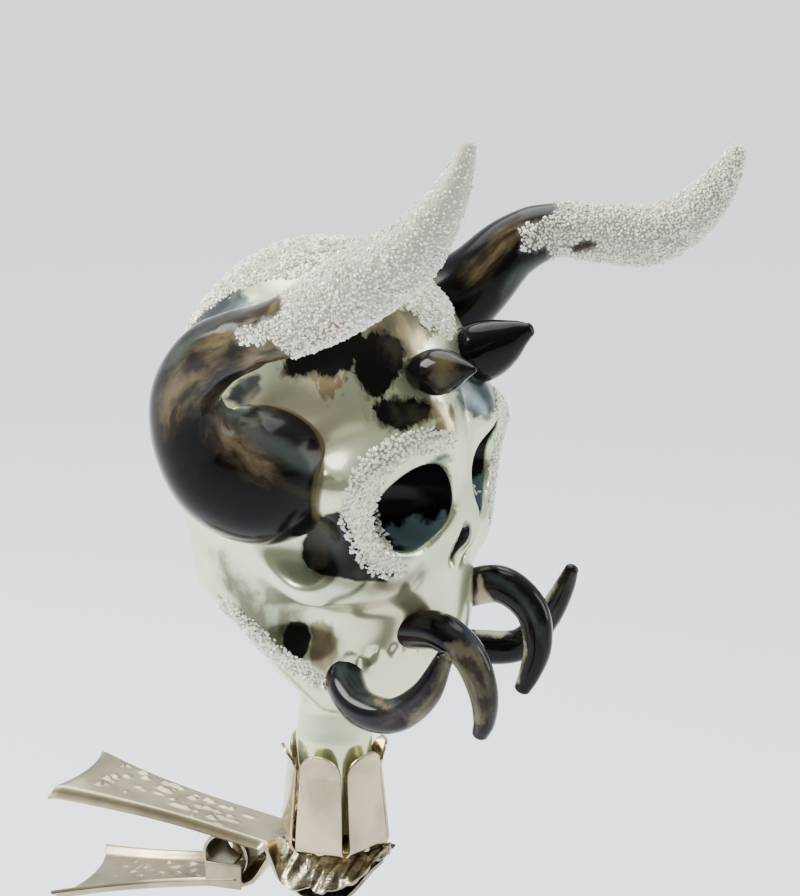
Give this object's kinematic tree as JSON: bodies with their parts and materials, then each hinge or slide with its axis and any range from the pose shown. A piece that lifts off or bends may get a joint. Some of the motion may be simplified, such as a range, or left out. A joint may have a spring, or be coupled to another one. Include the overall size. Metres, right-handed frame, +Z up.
{
  "type": "clip-on glass skull ornament",
  "caption": "Hollow blown-glass horned skull with fused horns, brow spikes and tusks, on a sprung metal clip that grips an edge.",
  "frame": {"origin": "middle of the flat grip pad, the underside of the clip's upper jaw, straight below the neck", "axes": "+Z up along the neck, the skull faces -Y, its left side at +X; the clip's jaws point 12 degrees to +X of -Y"},
  "size_m": [0.0972, 0.097, 0.1281],
  "materials": {
    "skull_glass": "silvered inside, satin pearl lacquer outside with dark brushed patches and glass frost",
    "horn_glass": "glossy black and tan mottled lacquer, tips coated with white glass frost",
    "spike_glass": "glossy black lacquer on clear glass",
    "tusk_glass": "glossy black, slate and tan streaked lacquer",
    "clip_metal": "bright nickel plate over stamped steel",
    "spring_metal": "plated spring steel"
  },
  "bodies": {
    "ornament": {"skull": "skull_glass", "horn_right": "horn_glass", "horn_left": "horn_glass", "brow_spike_right": "spike_glass", "brow_spike_left": "spike_glass", "tusk_outer_right": "tusk_glass", "tusk_inner_right": "tusk_glass", "tusk_inner_left": "tusk_glass", "tusk_outer_left": "tusk_glass", "collet": "clip_metal", "upper_plate": "clip_metal", "spring": "spring_metal"},
    "lower_jaw": {"lower_plate": "clip_metal"}
  },
  "joints": [
    {"name": "clip_hinge", "type": "hinge", "parent": "ornament", "child": "lower_jaw", "pos_m": [-0.0017, 0.00802, -0.0003], "axis": [0.9781, 0.2079, 0], "range_deg": [0, 16], "stiffness_Nm_per_rad": 0.08, "springref_deg": -20.05, "deforming": ["spring"]}
  ]
}
